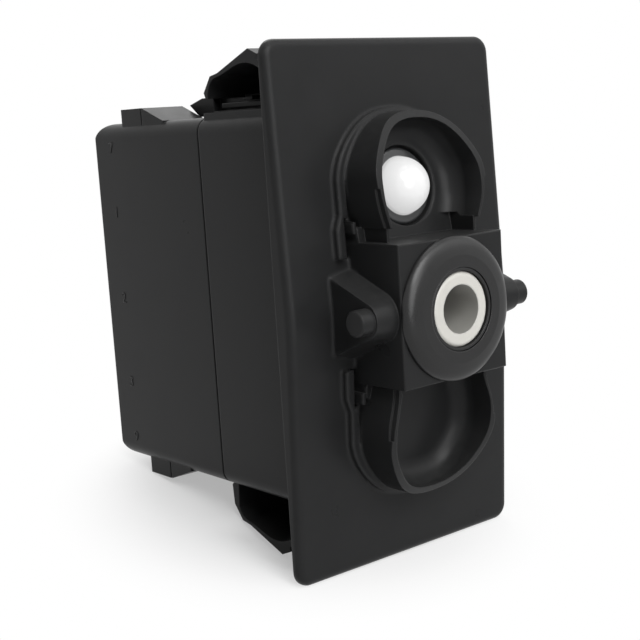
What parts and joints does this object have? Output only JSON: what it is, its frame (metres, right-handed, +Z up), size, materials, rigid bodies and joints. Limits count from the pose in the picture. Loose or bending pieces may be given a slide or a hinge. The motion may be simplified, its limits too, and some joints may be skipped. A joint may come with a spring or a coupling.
{
  "type": "panel rocker switch",
  "caption": "Sealed rectangular panel rocker switch without its cap: crowned face plate, lamp and blank cups, ring-sealed lever, pivot pins, snap wings, rear blade pocket.",
  "frame": {"origin": "middle of the face plate's rear face, where it seats on the panel", "axes": "+X right seen from the front, +Y back through the panel, +Z up towards the lamp end"},
  "size_m": [0.0274, 0.0436, 0.0484],
  "materials": {
    "black_plastic": "fine moulded satin",
    "rubber": "soft satin rubber",
    "ivory_plastic": "off-white moulded",
    "white_plastic": "smooth moulded",
    "white_lens": "milky gloss",
    "clear_resin": "clear cast resin",
    "resistor_body": "dipped coating",
    "tinned_wire": "tinned copper",
    "spring_steel": "drawn wire",
    "copper": "stamped copper",
    "silver": "silver contact",
    "brass": "stamped brass"
  },
  "bodies": {
    "housing": {"bracket": "black_plastic", "rear_base": "black_plastic", "seal_ring": "rubber", "lamp_lens": "white_lens", "lamp_led": "clear_resin", "lamp_resistor": "resistor_body", "lamp_lead_left": "tinned_wire", "lamp_lead_right": "tinned_wire", "lamp_lead_tail": "tinned_wire", "fixed_tip_left_upper": "silver", "fixed_tip_left_lower": "silver", "fixed_tip_right_upper": "silver", "fixed_tip_right_lower": "silver", "terminal_1": "brass", "terminal_2": "brass", "terminal_3": "brass", "terminal_4": "brass", "terminal_5": "brass", "terminal_6": "brass", "terminal_7": "brass", "terminal_8": "brass"},
    "lever": {"lever": "ivory_plastic", "seal_lip": "rubber", "plunger_spring_left": "spring_steel", "plunger_spring_right": "spring_steel"},
    "plunger_left": {"plunger_left": "white_plastic"},
    "plunger_right": {"plunger_right": "white_plastic"},
    "contact_left": {"rocker_contact_left": "copper", "moving_tip_left_upper": "silver", "moving_tip_left_lower": "silver"},
    "contact_right": {"rocker_contact_right": "copper", "moving_tip_right_upper": "silver", "moving_tip_right_lower": "silver"}
  },
  "joints": [
    {"name": "lever_tilt", "type": "hinge", "parent": "housing", "child": "lever", "pos_m": [0, -0.0065, 0], "axis": [1, 0, 0], "range_deg": [-12, 12]},
    {"name": "contact_left_seesaw", "type": "hinge", "parent": "housing", "child": "contact_left", "pos_m": [-0.0049, 0.0171, 0], "axis": [1, 0, 0], "range_deg": [-6.6, 6.6]},
    {"name": "contact_right_seesaw", "type": "hinge", "parent": "housing", "child": "contact_right", "pos_m": [0.0049, 0.0171, 0], "axis": [1, 0, 0], "range_deg": [-6.6, 6.6]},
    {"name": "plunger_left_slide", "type": "slide", "parent": "lever", "child": "plunger_left", "axis": [0, 1, 0], "range_m": [-0.0012, 0], "stiffness_N_per_m": 400, "springref_m": 0.0015, "deforming": ["plunger_spring_left"]},
    {"name": "plunger_right_slide", "type": "slide", "parent": "lever", "child": "plunger_right", "axis": [0, 1, 0], "range_m": [-0.0012, 0], "stiffness_N_per_m": 400, "springref_m": 0.0015, "deforming": ["plunger_spring_right"]}
  ],
  "couplings": [
    {"joint": "contact_left_seesaw", "follows": "lever_tilt", "ratio": -0.54},
    {"joint": "contact_right_seesaw", "follows": "lever_tilt", "ratio": -0.54}
  ]
}
